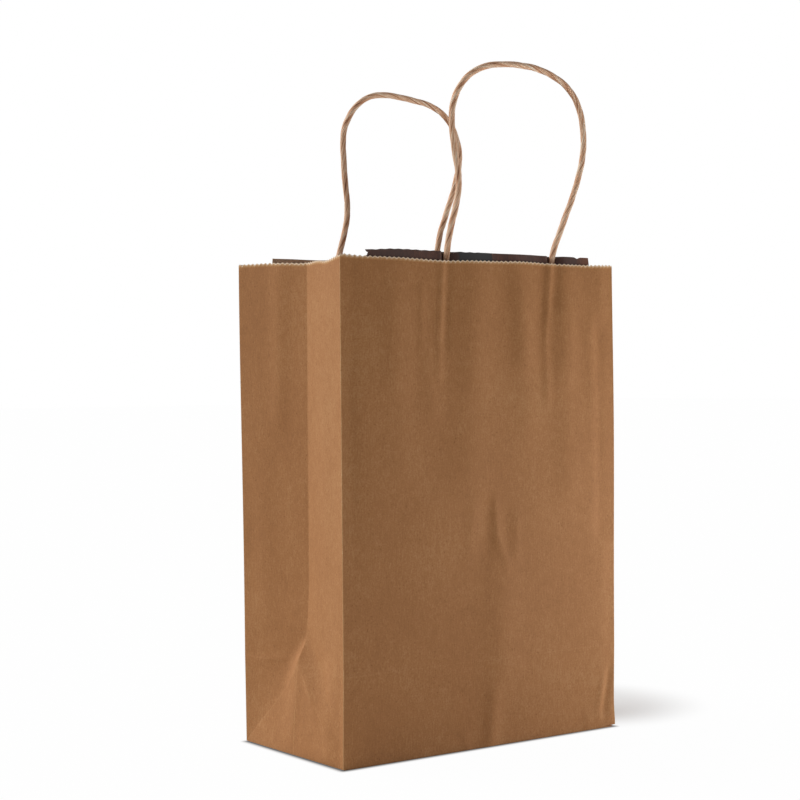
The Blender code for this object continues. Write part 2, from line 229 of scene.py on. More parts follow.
RIGHT_STROKES = [
    ((0.0020, 0.051), (0.0000, 0.001), 0.0014, 0.0004),
    ((0.0480, 0.050), (0.0170, 0.052), 0.0014, 0.0003),
    ((-0.0230, 0.240), (-0.0240, 0.160), 0.0070, 0.0006),
    ((0.0260, 0.180), (0.0240, 0.090), 0.0080, 0.0005),
]
REAR_STROKES = [
    ((-0.0368, 0.279), (-0.0386, 0.236), 0.0022, 0.0009),
    ((-0.0386, 0.232), (-0.0395, 0.205), 0.0034, 0.0004),
    ((-0.0440, 0.272), (-0.0450, 0.240), 0.0034, -0.0003),
    ((0.0382, 0.279), (0.0366, 0.236), 0.0022, 0.0008),
    ((0.0366, 0.232), (0.0360, 0.205), 0.0034, 0.0004),
    ((0.0310, 0.272), (0.0300, 0.240), 0.0034, -0.0003),
    ((-0.0150, 0.160), (-0.0220, 0.110), 0.0080, -0.0006),
    ((0.0500, 0.130), (0.0560, 0.080), 0.0090, 0.0005),
    ((-0.1000, 0.050), (0.1000, 0.050), 0.0018, 0.0002),
]

# Pushes of the whole sheet, folds included: middle, reach, shift
WARPS = [
    ((-0.100, 0.050, 0.290), (0.060, 0.040, 0.150), (-0.0021, 0.0017, 0.0)),
    ((0.101, -0.051, 0.000), (0.009, 0.009, 0.010), (0.0008, -0.0004, 0.0008)),
    ((0.100, -0.050, 0.185), (0.022, 0.022, 0.075), (0.0006, -0.0005, 0.0)),
]

# How far the knife's cut strays from level: middle along the sheet from the panel's left end, reach, rise
FRONT_CUT = [(0.000, 0.009, 0.0008), (0.068, 0.018, -0.0007), (0.127, 0.016, 0.0005), (0.200, 0.014, 0.0007)]
LEFT_CUT = [(0.050, 0.016, -0.0011), (0.079, 0.012, -0.0017)]
CUT_REACH = 0.040  # how far down the paper follows

# The slow bulge and the uneven waves of the front and the rear
BELLY_X = 0.020
BELLY_AT = 0.150  # its height
BELLY_REACH = (0.085, 0.110)
FRONT_BELLY = 0.0016
REAR_BELLY = 0.0012
CORNER_RISE = 0.0014  # how far both panels rise behind their left corner
CORNER_REACH = 0.022
CORNER_STARTS = (0.060, 0.160)  # the rise comes in between these heights
PANEL_COCKLE = (0.045, 0.0006)  # how far the waves reach, and how high they are
COCKLE_ENDS = (0.20, 0.25)  # and they die out between these
COCKLE_TALL = 1.8  # they are this much taller than wide
CORNER_HOLDS = 0.012  # how far a fold holds the paper flat
FOOT_HOLDS = 0.020
STROKE_ENDS = 0.003  # strokes die out this near a corner
FADED = 3  # a push has faded out at this many times its reach

# The same for the tucked sides
SIDE_COCKLE = (0.030, 0.0005)
SIDE_PLACE = 3  # takes their waves from another part of the noise
SIDE_CORNER_HOLDS = 0.008
SIDE_FOOT_HOLDS = 0.004
SIDE_FOLD_HOLDS = 0.006


def linear(colour):
    """The linear RGBA of an sRGB colour written in hex."""
    channels = [int(colour[i : i + 2], 16) / 255 for i in (0, 2, 4)]
    return [c / 12.92 if c <= 0.04045 else ((c + 0.055) / 1.055) ** 2.4 for c in channels] + [1]


def smooth(low, high, value):
    """Rises smoothly from 0 at low to 1 at high."""
    share = min(1.0, max(0.0, (value - low) / (high - low)))
    return share * share * (3 - 2 * share)


# The shape of the folded sheet


def fold_tuck(z):
    """How far the middle fold of a side stands in at a height above the block-bottom crease."""
    share = (z - CREASE_Z) / (BAG_HEIGHT - CREASE_Z)
    for low, high, tuck, next_tuck in zip(FOLD_SHARES, FOLD_SHARES[1:], FOLD_TUCKS, FOLD_TUCKS[1:]):
        if share <= high:
            return tuck + (next_tuck - tuck) * (share - low) / (high - low)
    return next_tuck


def half_depth(z):
    """Half the bag's depth at height z."""
    rise = (z - WALL_FOOT) / HALF_DEPTH if z <= CREASE_Z else (BAG_HEIGHT - z) / (BAG_HEIGHT - CREASE_Z)
    return HALF_DEPTH + CREASE_SWELL * max(0.0, rise)


def gusset_tuck(y, z):
    """How far a point of the side stands in, y being its place across the unfolded side."""
    bend = FOLD_ROUND * (1 - smooth(*APEX_SOFT, z - CREASE_Z))
    edge = 1 - (math.hypot(y, bend) - bend) / (math.hypot(HALF_DEPTH, bend) - bend)
    full = edge * fold_tuck(max(z, CREASE_Z + TUCK_EASE))
    lean = REAR_DIP if y > 0 else -FRONT_RISE
    apex = APEX_TUCK + lean * smooth(0, DIAGONAL_REACH, abs(y))
    foot = apex * min(edge, (z - WALL_FOOT) / HALF_DEPTH)
    above = z - (CREASE_Z - abs(y))
    return foot + (full - foot) * smooth(0, TUCK_EASE + EDGE_EASE * abs(y), above)


def stroke_push(strokes, u, z):
    """The sum of all strokes' pushes at a point of a panel."""
    total = 0.0
    for (u0, z0), (u1, z1), reach, push in strokes:
        du, dz = u1 - u0, z1 - z0
        along = min(1.0, max(0.0, ((u - u0) * du + (z - z0) * dz) / (du * du + dz * dz)))
        away = math.hypot(u - u0 - along * du, z - z0 - along * dz) / reach
        if away < FADED:
            total += push * math.exp(-away * away)
    return total


def cockle(place, reach, height):
    """Slow, uneven waves such as paper gets from damp air and handling."""
    x, y, z = place
    return height * noise.noise(Vector((x / reach, y / reach, z / (COCKLE_TALL * reach))))


def panel_push(side, x, z):
    """How far the front (side -1) or the rear (side 1) stands out from its plain form."""
    strokes = FRONT_STROKES if side < 0 else REAR_STROKES
    belly = FRONT_BELLY if side < 0 else REAR_BELLY
    away = ((x - BELLY_X) / BELLY_REACH[0]) ** 2 + ((z - BELLY_AT) / BELLY_REACH[1]) ** 2
    slow = belly * math.exp(-away) + cockle((x, side, z), *PANEL_COCKLE) * (1 - smooth(*COCKLE_ENDS, z))
    slow += CORNER_RISE * smooth(0, CORNER_REACH, HALF_WIDTH + x) * smooth(*CORNER_STARTS, z)
    edge = smooth(0, CORNER_HOLDS, HALF_WIDTH - abs(x))
    foot = smooth(0, FOOT_HOLDS, z)
    return stroke_push(strokes, x, z) * smooth(0, STROKE_ENDS, HALF_WIDTH - abs(x)) + slow * edge * foot


def side_push(side, y, z):
    """How far a tucked side stands out from its plain form."""
    strokes = LEFT_STROKES if side < 0 else RIGHT_STROKES
    edge = smooth(0, SIDE_CORNER_HOLDS, HALF_DEPTH - abs(y)) * smooth(0, SIDE_FOOT_HOLDS, z)
    slow = cockle((SIDE_PLACE * side, y, z), *SIDE_COCKLE) * smooth(0, SIDE_FOLD_HOLDS, abs(y))
    return (stroke_push(strokes, y, z) + slow) * edge


def panel_y(side, x, z, inset=0.0):
    """Where the outer face of the front or rear panel is, or a layer that lies inset from it."""
    z = min(z, BAG_HEIGHT)
    return side * (half_depth(z) + panel_push(side, x, z) - inset)


def cut_height(panel, along):
    """How far the mouth's edge strays from level."""
    dips = {"front": FRONT_CUT, "left": LEFT_CUT}.get(panel, [])
    return sum(rise * math.exp(-(((along - middle) / reach) ** 2)) for middle, reach, rise in dips)


PANELS = [("rear", WIDTH), ("left", DEPTH), ("front", WIDTH), ("right", DEPTH)]


def on_sheet(s):
    """Which panel a place across the flat sheet belongs to, and how far along it."""
    for name, length in PANELS:
        if s <= length + ROUNDING:
            return name, s
        s -= length
    return PANELS[-1]


def folded(s, z):
    """The place in the standing bag of a point of the flat sheet."""
    panel, along = on_sheet(s)
    if panel in ("rear", "front"):
        side = 1 if panel == "rear" else -1
        x = -side * (along - HALF_WIDTH)
        return Vector((x, panel_y(side, x, z), z))
    side = -1 if panel == "left" else 1
    y = side * (along - HALF_DEPTH)
    x = side * (HALF_WIDTH - gusset_tuck(y, z) + side_push(side, y, z))
    return Vector((x, y * half_depth(z) / HALF_DEPTH, z))


def warped(place):
    """The same point after the pushes that bend folds and walls alike."""
    moved = place.copy()
    for middle, reach, shift in WARPS:
        away = sum(((p - m) / r) ** 2 for p, m, r in zip(place, middle, reach))
        if away < FADED**2:
            moved += Vector(shift) * math.exp(-away)
    return moved


# Tools


def sheet_grid(columns, rows):
    """A flat grid in the XY plane with its lines at the given places."""
    bm = bmesh.new()
    across, up = len(columns) - 1, len(rows) - 1
    bmesh.ops.create_grid(bm, x_segments=across, y_segments=up, size=0.5)
    for vert in bm.verts:
        i, j = round((vert.co.x + 0.5) * across), round((vert.co.y + 0.5) * up)
        vert.co = (columns[i], rows[j], 0)
    return bm


def spread(low, high, step):
    """Evenly spaced values from low to high, about step apart."""
    count = max(1, round((high - low) / step))
    return [low + (high - low) * i / count for i in range(count + 1)]


def add_piece(name, bm, materials):
    """Makes an object of a finished mesh, at the origin and in the scene."""
    mesh = bpy.data.meshes.new(name)
    bm.to_mesh(mesh)
    bm.free()
    piece = bpy.data.objects.new(name, mesh)
    for material in materials:
        mesh.materials.append(material)
    bpy.context.scene.collection.objects.link(piece)
    return piece


def thicken(piece, inner_slot=0, rim_slot=0):
    """Gives a sheet its paper's thickness, inwards from its outer face, and applies it."""
    solid = piece.modifiers.new("paper", "SOLIDIFY")
    solid.thickness = PAPER
    solid.offset = -1
    solid.use_quality_normals = True
    solid.material_offset = inner_slot
    solid.material_offset_rim = rim_slot
    depsgraph = bpy.context.evaluated_depsgraph_get()
    plain = piece.data
    piece.data = bpy.data.meshes.new_from_object(piece.evaluated_get(depsgraph))
    piece.data.name = piece.name
    piece.modifiers.clear()
    bpy.data.meshes.remove(plain)


SHARP_FOLD = math.radians(50)


def shade(piece):
    """Smooth paper, with its folds and cut edges left sharp."""
    piece.data.shade_smooth()
    piece.data.set_sharp_from_angle(angle=SHARP_FOLD)


def dress(piece, node):
    """Sets a piece in the frame, in place of its CAD node."""
    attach(piece, "root")
    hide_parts(node)


# The bag


def sheet_columns():
    """Where the flat sheet is divided across: two for each tooth, and three at each fold."""
    folds, at = [0.0], 0.0
    for name, length in PANELS:
        if name in ("left", "right"):
            folds.append(at + length / 2)
        at += length
        folds.append(at)
    soft = [f + d for f in folds for d in (-FOLD_SOFT, 0, FOLD_SOFT)]
    soft = [s for s in soft if -SAME_PLACE <= s <= GIRTH + SAME_PLACE]
    teeth = round(GIRTH / TOOTH_PITCH)
    even = spread(0, GIRTH, GIRTH / (2 * teeth))
    return sorted(soft + [s for s in even if all(abs(s - f) > COLUMN_GAP for f in soft)])


def sheet_rows():
    """Where it is divided in height."""
    foot = spread(WALL_FOOT, CREASE_Z - FOLD_SOFT, ROW_STEP) + [CREASE_Z]
    ease = spread(CREASE_Z + FOLD_SOFT, CREASE_Z + TUCK_EASE, EASE_STEP)
    wall = spread(ease.pop(), BAG_HEIGHT - TOOTH_ROW, ROW_STEP)
    return foot + ease + wall + [BAG_HEIGHT - TOOTH_RIM, BAG_HEIGHT]


def cut_diagonals(bm):
    """Divides the sides along the creases that run from the block bottom's corners to its apex."""
    for middle in (WIDTH + HALF_DEPTH, 2 * WIDTH + DEPTH + HALF_DEPTH):
        for lean in (-1, 1):
            for off in (-FOLD_SOFT, 0, FOLD_SOFT):
                centres = [(f, f.calc_center_median()) for f in bm.faces]
                faces = [f for f, c in centres if abs(c.x - middle) < HALF_DEPTH and c.y < CREASE_Z]
                edges = {e for f in faces for e in f.edges}
                verts = {v for f in faces for v in f.verts}
                bmesh.ops.bisect_plane(
                    bm,
                    geom=[*verts, *edges, *faces],
                    plane_co=(middle, CREASE_Z + off * math.sqrt(2), 0),
                    plane_no=(lean, 1, 0),
                    dist=ROUNDING,
                )


def fold_wear_and_highlight(s, z):
    """How much paler the paper is painted: 2 on the torn rim, 1 along the corners, and less on the creases;
    partly rubbing, partly painted highlight where folds and rim catch the light.
    """
    if z > BAG_HEIGHT - SAME_PLACE:
        return 2.0
    if z > BAG_HEIGHT - TOOTH_RIM - SAME_PLACE:
        return 1.2
    panel, along = on_sheet(s)
    length = dict(PANELS)[panel]
    if min(along, length - along) < ON_FOLD:
        return 1.0
    if panel in ("left", "right"):
        across = abs(along - HALF_DEPTH)
        if across < ON_FOLD:
            return 0.35 if z < CREASE_Z else 0.1
        if z < CREASE_Z + ON_FOLD and abs(across - (CREASE_Z - z)) < ON_FOLD:
            return 0.2
    return 0.12 if abs(z - CREASE_Z) < ON_FOLD else 0.0


def body_sheet():
    """The walls and the layer over the flaps, as one open surface with its folds' wear and painted highlight.
    """
    bm = sheet_grid(sheet_columns(), sheet_rows())
    cut_diagonals(bm)
    wear_and_highlight = bm.verts.layers.float.new("wear_and_highlight")
    teeth = round(GIRTH / TOOTH_PITCH)
    for vert in bm.verts:
        s, z = vert.co.x, vert.co.y
        vert[wear_and_highlight] = fold_wear_and_highlight(s, z)
        place = folded(s, z)
        if z > BAG_HEIGHT - TOOTH_RIM - SAME_PLACE:
            phase = s * teeth / GIRTH % 1
            bite = TOOTH_EVEN + TOOTH_UNEVEN * noise.noise(Vector((s * TOOTH_CHANGES, 0, 0)))
            place.z -= TOOTH_DEPTH * bite * (1 - abs(2 * phase - 1))
        follow = smooth(BAG_HEIGHT - CUT_REACH, BAG_HEIGHT, z)
        place.z += cut_height(*on_sheet(s)) * follow
        vert.co = warped(place)
    bmesh.ops.remove_doubles(bm, verts=bm.verts, dist=SAME_PLACE)
    foot = [e for e in bm.edges if e.is_boundary and all(v.co.z < CREASE_Z / 2 for v in e.verts)]
    bmesh.ops.contextual_create(bm, geom=foot)
    bmesh.ops.recalc_face_normals(bm, faces=bm.faces)
    return bm


def box_mesh(low, high):
    """A box between two corners."""
    bm = bmesh.new()
    bmesh.ops.create_cube(bm, size=1)
    low, high = Vector(low), Vector(high)
    bmesh.ops.scale(bm, vec=high - low, verts=bm.verts)
    bmesh.ops.translate(bm, vec=(low + high) / 2, verts=bm.verts)
    return bm


def flap(side, low_z, high_z):
    """One flap of the block bottom: full width at its fold, narrowing at 45 degrees past the middle."""
    near, far = side * (HALF_DEPTH - FLAP_INSET), -side * FLAP_OVERLAP / 2
    bm = box_mesh((-HALF_WIDTH, min(near, far), low_z), (HALF_WIDTH, max(near, far), high_z))
    for vert in bm.verts:
        from_fold = HALF_DEPTH - side * vert.co.y
        vert.co.x = math.copysign(HALF_WIDTH - from_fold - FLAP_INSET, vert.co.x)
    return bm


def lap_seam():
    """The second layer down the back, where the sheet's two edges are glued."""
    left = -HALF_WIDTH + SEAM_FROM_CORNER
    columns = spread(left, left + SEAM_WIDTH, TOOTH_PITCH / 2)
    rows = spread(WALL_FOOT + PAPER, BAG_HEIGHT - TOOTH_ROW, ROW_STEP) + [BAG_HEIGHT]
    bm = sheet_grid(columns, rows)
    for vert in bm.verts:
        x, z = vert.co.x, vert.co.y
        place = Vector((x, panel_y(1, x, z, -PAPER * SEAM_OUT), z))
        if z > BAG_HEIGHT - SAME_PLACE and round((x - left) / (TOOTH_PITCH / 2)) % 2:
            place.z -= TOOTH_DEPTH
        vert.co = warped(place)
    turn_outwards(bm, 1)
    return bm


def turn_outwards(bm, side):
    """Makes every face of an upright sheet look the way its panel faces."""
    bmesh.ops.recalc_face_normals(bm, faces=bm.faces)
    wrong = [f for f in bm.faces if f.normal.y * side < 0]
    bmesh.ops.reverse_faces(bm, faces=wrong)


def join_pieces(pieces, name):
    """One object made of several, which keeps the first one's materials."""
    bm = bmesh.new()
    for piece in pieces:
        bm.from_mesh(piece.data)
    joined = add_piece(name, bm, pieces[0].data.materials[:])
    for piece in pieces:
        bpy.data.objects.remove(piece, do_unlink=True)
    return joined


def build_bag(paper, edge):
    """The whole folded sheet as one object: walls, lap seam and the block bottom's two flaps."""
    walls = add_piece("walls", body_sheet(), [paper, edge])
    thicken(walls, rim_slot=1)
    seam = add_piece("seam", lap_seam(), [paper, edge])
    thicken(seam, rim_slot=1)
    outer = add_piece("outer_flap", flap(-1, 0, WALL_FOOT + PAPER * OUTER_TOP), [paper])
    inner = add_piece("inner_flap", flap(1, PAPER, WALL_FOOT + PAPER * INNER_TOP), [paper])
    bag = join_pieces([walls, seam, outer, inner], "kraft_paper_bag")
    shade(bag)
    dress(bag, "bag_body")


# The strips inside the mouth


def leg_x(handle, leg, z):
    """Where a leg of the handle crosses height z inside its pocket."""
    return handle["legs"][leg] + handle["slant"] * (z - BAG_HEIGHT)


def strip_columns(handle, step):
    """Where a handle's strips are divided along their length."""
    low = handle["strip_x"] - STRIP_LENGTH / 2
    return spread(low, low + STRIP_LENGTH, step)


def hump(handle, x, z):
    """1 over a cord's end, 0 where the strip is glued flat."""
    near = min(abs(x - leg_x(handle, leg, z)) for leg in (0, 1))
    return 1 - smooth(HUMP_FLAT, HUMP_FOOT, near)


def build_backing(handle, paper):
    """The strip between the panel and the cord's ends."""
    side = handle["side"]
    rows = spread(POCKET_Z, BAG_HEIGHT - BACKING_DROP, ROW_STEP)
    bm = sheet_grid(strip_columns(handle, BACKING_COLUMN), rows)
    for vert in bm.verts:
        x, z = vert.co.x, vert.co.y
        vert.co = warped(Vector((x, panel_y(side, x, z, BACKING_INSET), z)))
    turn_outwards(bm, side)
    strip = add_piece(handle["name"] + "_backing_paper", bm, [paper])
    thicken(strip)
    shade(strip)
    dress(strip, handle["name"] + "_strip_backing")


TOP_WAVE = 0.0003  # both covers' upper edges stray this far from straight
TOP_CHANGES = 45  # per metre
COVER_LEAN = 0.0006  # how far they lean in, unevenly
LEAN_CHANGES = 60
TORN_HEIGHT = 0.00012  # the front cover's upper edge is torn up to TORN_ENDS
TORN_PITCH = 0.0062
TORN_ENDS = (-0.012, 0.004)
NOTCH_X = 0.0715
NOTCH_DEPTH = 0.0009
NOTCH_REACH = 0.0016
END_DROP = 0.0009  # and drops towards its left end
END_REACH = 0.020
FOLDED_END = 0.0035  # how far that end slopes
CUT_END = 0.0022  # how much shorter its right end is than the strip below it


def cover_top(handle, x):
    """How far the cover's upper edge lies from its level, along its length."""
    low = handle["strip_x"] - STRIP_LENGTH / 2
    rise = TOP_WAVE * noise.noise(Vector((x * TOP_CHANGES, handle["side"] * 5, 0)))
    if handle is FRONT:
        torn = TORN_HEIGHT * math.sin(2 * math.pi * x / TORN_PITCH) * (1 - smooth(*TORN_ENDS, x))
        notch = NOTCH_DEPTH * math.exp(-(((x - NOTCH_X) / NOTCH_REACH) ** 2))
        rise += torn - notch - END_DROP * (1 - smooth(0, END_REACH, x - low))
    return rise


def build_cover(handle, shade_strip, pale_lit_strip, edge):
    """The strip over the cord's ends, humped over each cord and stuck flat between them."""
    side = handle["side"]
    top = BAG_HEIGHT + COVER_RISE
    low = handle["strip_x"] - STRIP_LENGTH / 2
    high = low + STRIP_LENGTH
    rows = spread(POCKET_Z, BAG_HEIGHT - TOOTH_ROW, COVER_ROW) + spread(BAG_HEIGHT, top, COVER_TOP_ROW)
    bm = sheet_grid(strip_columns(handle, COVER_COLUMN), rows)
    for vert in bm.verts:
        x, z = vert.co.x, vert.co.y
        above = smooth(BAG_HEIGHT, top, z)
        inset = COVER_INSET + (HUMP_INSET - COVER_INSET) * hump(handle, x, z)
        inset += COVER_LEAN * above * (1 + noise.noise(Vector((x * LEAN_CHANGES, side, 3))))
        y = panel_y(side, x, z, inset)
        if handle is FRONT:
            x = min(x, high - CUT_END)
        if handle is FRONT and x < low + FOLDED_END * above:
            x = low + FOLDED_END * (1 - above)
        vert.co = warped(Vector((x, y, z + cover_top(handle, x) * above)))
    turn_outwards(bm, side)
    strip = add_piece(handle["name"] + "_cover_paper", bm, [shade_strip, pale_lit_strip, edge])
    thicken(strip, inner_slot=1, rim_slot=2)
    shade(strip)
    dress(strip, handle["name"] + "_strip_cover")


# The twisted cords

CORD_SIDES = 36
RING_STEP = 0.0009
PLIES = 3
LAY_LENGTH = 0.039  # one turn of the twist
GROOVE = 0.11  # how deep the grooves between the plies are, as a share of the radius
GROOVE_SHAPE = 1.6  # above 1, the plies are round and the grooves narrow
CORD_RADIUS = 0.00182  # as drawn, a little under the stated diameter's half
# How far the cord strays from even, and how often it changes in a metre
LOOSE, LOOSE_CHANGES = 0.5, 28  # its grooves' depth
STRAY_TURN, TURN_CHANGES = 0.9, 22  # its twist, in radians
STRAY_SIZE, SIZE_CHANGES = 0.06, 60  # its thickness
CREASE_DEPTH, CREASE_CHANGES = 0.05, 90  # its small creases
CREASE_FINE = 3.2  # how fine those are round the cord


def smooth_route(points, spacing):
    """Points at an even spacing on a smooth curve through the given ones."""
    ends = [2 * points[0] - points[1]] + points + [2 * points[-1] - points[-2]]
    fine = []
    for a, b, c, d in zip(ends, ends[1:], ends[2:], ends[3:]):
        for i in range(8):
            t = i / 8
            cubic = (2 * a - 5 * b + 4 * c - d) * t**2 + (3 * b - a - 3 * c + d) * t**3
            fine.append((2 * b + (c - a) * t + cubic) / 2)
    fine.append(points[-1])
    along = [0.0]
    for p, q in zip(fine, fine[1:]):
        along.append(along[-1] + (q - p).length)
    count = round(along[-1] / spacing)
    spaced, k = [], 0
    for i in range(count + 1):
        want = along[-1] * i / count
        while k < len(along) - 2 and along[k + 1] < want:
            k += 1
        spaced.append(fine[k].lerp(fine[k + 1], (want - along[k]) / (along[k + 1] - along[k])))
    return spaced


def cord_route(handle):
    """The whole centreline of a handle, from one buried end to the other."""

    def at(x, out, z):
        inside = half_depth(min(z, BAG_HEIGHT)) - CORD_INSET
        return Vector((x, handle["side"] * (inside + out), z))

    heights = [BAG_HEIGHT - CORD_BURIED * share for share in CORD_DEPTHS]
    left = [at(leg_x(handle, 0, z), 0, z) for z in heights]
    right = [at(leg_x(handle, 1, z), 0, z) for z in reversed(heights)]
    loop = [at(x, out, BAG_HEIGHT + up) for x, out, up in handle["loop"]]
    return left + loop + right


def cord_radius(angle, along, seed):
    """The outline of the twisted cord: plies with grooves between them, and their own small creases."""
    loose = 1 + LOOSE * noise.noise(Vector((along * LOOSE_CHANGES, seed, 0)))
    stray = STRAY_TURN * noise.noise(Vector((along * TURN_CHANGES, seed, 7)))
    turn = angle - 2 * math.pi * along / LAY_LENGTH + stray
    ply = abs(math.cos(PLIES * turn / 2))
    place = (math.cos(turn) * CREASE_FINE, math.sin(turn) * CREASE_FINE, along * CREASE_CHANGES + seed)
    size = CORD_RADIUS * (1 + STRAY_SIZE * noise.noise(Vector((along * SIZE_CHANGES, 4, seed))))
    groove = GROOVE * loose * (1 - ply) ** GROOVE_SHAPE
    return size * (1 - groove + CREASE_DEPTH * noise.noise(Vector(place))), ply


def build_cord(handle, paper):
    """One handle: a twisted tube along its route, with its lay in the UV map "twist"."""
    route = cord_route(handle)
    rings = smooth_route(route, RING_STEP)
    length = sum((q - p).length for p, q in zip(rings, rings[1:]))
    bm = sheet_grid(spread(0, 1, 1 / CORD_SIDES), spread(0, 1, 1 / (len(rings) - 1)))
    groove = bm.verts.layers.float.new("groove")
    twist = bm.loops.layers.uv.new("twist")
    for face in bm.faces:
        for loop in face.loops:
            loop[twist].uv = (loop.vert.co.x, loop.vert.co.y * length)
    frames, across = [], Vector((0, 1, 0))
    for i, ring in enumerate(rings):
        ahead = (rings[min(i + 1, len(rings) - 1)] - rings[max(i - 1, 0)]).normalized()
        across = (across - ahead * across.dot(ahead)).normalized()
        frames.append((ring, across.copy(), ahead.cross(across)))
    for vert in bm.verts:
        angle, ring = 2 * math.pi * vert.co.x, round(vert.co.y * (len(rings) - 1))
        radius, ply = cord_radius(angle, vert.co.y * length, handle["side"])
        middle, side, up = frames[ring]
        vert[groove] = 1 - ply
        vert.co = middle + radius * (math.cos(angle) * side + math.sin(angle) * up)
    bmesh.ops.remove_doubles(bm, verts=bm.verts, dist=SAME_PLACE)
    bmesh.ops.holes_fill(bm, edges=[e for e in bm.edges if e.is_boundary], sides=0)
    bmesh.ops.recalc_face_normals(bm, faces=bm.faces)
    cord = add_piece(handle["name"] + "_twisted_cord", bm, [paper])
    shade(cord)
    dress(cord, handle["name"] + "_handle")


# Materials

# Colours along each paper's tone, dark to light
KRAFT_STOPS = [(0.1, "825228"), (0.5, "AA7341"), (0.85, "C89966"), (1.0, "ECD2B4")]
# the strips' paper: paler than the bag's, partly a paler kraft and partly painted light
PALE_LIT_STRIP_STOPS = [(0.1, "C29C7E"), (0.5, "DFBFA3"), (0.9, "F0DCC6")]
EDGE_STOPS = [(0.2, "B08C66"), (0.8, "DEC4A2")]
CORD_STOPS = [(0.1, "84503A"), (0.4, "D49A72"), (0.65, "F2C6A2"), (0.95, "FFECD2")]
# the front cover's outer face: painted shade, from nearly black to dark brown
SHADE_STRIP_STOPS = [(0.15, "0A0808"), (0.45, "3E2014"), (0.75, "683C26")]

# Roughness, and the depth of the paper's relief
KRAFT_FINISH = (0.82, 0.00012)
EDGE_FINISH = (0.9, 0.0001)
CORD_FINISH = (0.75, 0.0004)
SHADE_STRIP_FINISH = (0.7, 0.0001)
PAPER_IOR = 1.5

FIBRE_ACROSS = 1 / 0.0007  # kraft fibres are 0.03 mm wide: drawn coarser, as the streaks of many
FIBRE_ALONG = 1 / 0.0040
CLOUD = 1 / 0.0060  # the pulp's cloudy look when held to the light
SPECK = 1 / 0.0009
BLOTCH = 1 / 0.060
DARK_SPECKS = (0.28, 0.22)  # only the deepest of the specks' noise shows, and fully below the second value

CREASES_ALONG = 1 / 0.036  # the cord's lengthwise creases, along its lay and round it
CREASES_ROUND = 2.75
STRETCH = 1 / 0.012  # longer stretches of the cord are lighter or darker

SHADE_MOTTLE = 1 / 0.022  # uneven patches in the front cover's painted shade
BLACK_FROM = (-0.0200, -0.0165)  # where its nearly black part, painted deep shadow, begins and ends along the bag
BLACK_TO = (0.0050, 0.0065)
PALER_FROM = (0.070, 0.078)


def add_node(tree, kind, inputs=None, **settings):
    """Adds a node with its settings; an input holds a value, or the socket that it is linked from."""
    made = tree.nodes.new("ShaderNode" + kind)
    for name, value in settings.items():
        setattr(made, name, value)
    for key, value in (inputs or {}).items():
        if isinstance(value, bpy.types.NodeSocket):
            tree.links.new(value, made.inputs[key])
        else:
            made.inputs[key].default_value = value
    return made


def empty_material(name):
    """A material without nodes, and its tree."""
    material = bpy.data.materials.new(name)
    material.use_nodes = True
    material.node_tree.nodes.clear()
    return material, material.node_tree


def mix_tones(tree, base, parts):
    """Adds weighted patterns, each around its middle value, to a base tone."""
    tone = base
    for source, weight, middle in parts:
        centred = add_node(tree, "Math", {0: source, 1: middle}, operation="SUBTRACT").outputs[0]
        tone = add_node(tree, "Math", {0: centred, 1: weight, 2: tone}, operation="MULTIPLY_ADD").outputs[0]
    return tone


def rise_between(tree, value, first, last, **settings):
    """0 up to the first value and 1 from the last on."""
    inputs = {"Value": value, "From Min": first, "From Max": last}
    return add_node(tree, "MapRange", inputs, **settings).outputs[0]


def colour_ramp(tree, tone, stops):
    """Colours along a tone: each stop is its place and its sRGB colour in hex."""
    ramp = add_node(tree, "ValToRGB", {"Fac": tone})
    elements = ramp.color_ramp.elements
    while len(elements) < len(stops):
        elements.new(0.5)
    for element, (place, colour) in zip(elements, stops):
        element.position = place
        element.color = linear(colour)
    return ramp.outputs["Color"]


def paper_patterns(tree):
    """The patterns that all the paper shares, on Object coordinates."""
    place = add_node(tree, "TexCoord").outputs["Object"]
    scale = (FIBRE_ACROSS, FIBRE_ACROSS, FIBRE_ALONG)
    grain = add_node(tree, "Mapping", {"Vector": place, "Scale": scale}).outputs[0]
    fibre = add_node(tree, "TexNoise", {"Vector": grain, "Scale": 1, "Detail": 3, "Roughness": 0.6})
    cloud = add_node(tree, "TexNoise", {"Vector": place, "Scale": CLOUD, "Detail": 4, "Roughness": 0.6})
    speck = add_node(tree, "TexNoise", {"Vector": place, "Scale": SPECK, "Detail": 1, "Roughness": 0.5})
    blotch = add_node(tree, "TexNoise", {"Vector": place, "Scale": BLOTCH, "Detail": 2, "Roughness": 0.5})
    return [n.outputs["Fac"] for n in (fibre, cloud, speck, blotch)]


def paper_shader(tree, colour, height, finish):
    """A matt shader over the given colour, with the paper's own relief."""
    roughness, depth = finish
    bump = add_node(tree, "Bump", {"Height": height, "Strength": 1.0, "Distance": depth})
    shader = add_node(
        tree,
        "BsdfPrincipled",
        {"Base Color": colour, "Normal": bump.outputs[0], "Roughness": roughness, "IOR": PAPER_IOR},
    )
    add_node(tree, "OutputMaterial", {"Surface": shader.outputs[0]})


